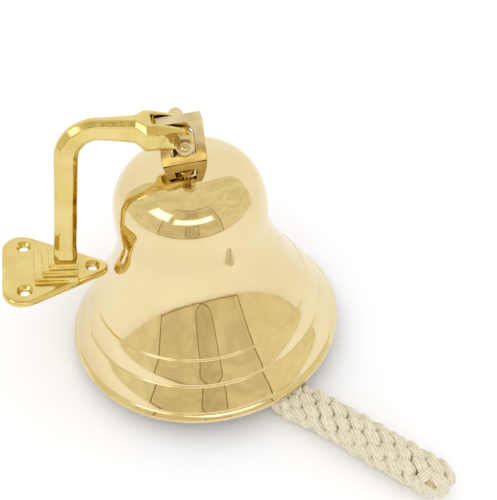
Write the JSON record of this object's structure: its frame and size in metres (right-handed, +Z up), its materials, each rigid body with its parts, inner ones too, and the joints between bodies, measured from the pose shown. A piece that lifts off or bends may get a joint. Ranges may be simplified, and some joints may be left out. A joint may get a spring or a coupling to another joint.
{
  "type": "ship bell",
  "caption": "Polished brass bell on a folding wall bracket, with a clapper and a plaited rope lanyard.",
  "frame": {"origin": "on the surface that the bell stands on, below the middle of the bell and its bracket, measured without the lanyard", "axes": "+Z up from the surface; +X from the wall bracket's side towards the bell; the yoke bolt runs nearly along Y. The bell stands tilted 6 degrees, propped on its lanyard, with the bracket folded down beside it."},
  "size_m": [0.2413, 0.2499, 0.1753],
  "materials": {
    "bell_brass": "mirror polished, pale gold",
    "cast_brass": "hand-filed and polished casting",
    "turned_brass": "satin, turned",
    "fibre": "matt vulcanised fibre",
    "cotton": "unbleached cotton cord, plaited",
    "twine": "waxed whipping twine"
  },
  "bodies": {
    "bracket": {"wall_plate": "cast_brass", "bracket_arm": "cast_brass", "arm_screw": "turned_brass", "yoke_bolt": "turned_brass", "yoke_washers": "turned_brass", "yoke_nut_front": "turned_brass", "yoke_nut_rear": "turned_brass"},
    "bell": {"bell_shell": "bell_brass", "crown_loop": "turned_brass", "crown_nut": "turned_brass", "crown_washer": "turned_brass", "inner_washer": "fibre", "eye_bolt": "turned_brass", "lanyard_rope": "cotton", "lanyard_end_knot": "cotton"},
    "clapper": {"clapper_rod": "cast_brass", "clapper_ball": "cast_brass", "clapper_tail_eye": "turned_brass", "lanyard_eye": "cotton", "lanyard_whipping": "twine"}
  },
  "joints": [
    {"name": "bell_swing", "type": "hinge", "parent": "bracket", "child": "bell", "pos_m": [0.00932, 0.01432, 0.15968], "axis": [-0.0021, -0.9955, 0.0947], "range_deg": [0, 180]},
    {"name": "clapper_swing", "type": "hinge", "parent": "bell", "child": "clapper", "pos_m": [0.01104, 0.01064, 0.12099], "axis": [0, 1, 0], "range_deg": [-32.5, 28.5], "deforming": ["lanyard_rope"]}
  ]
}
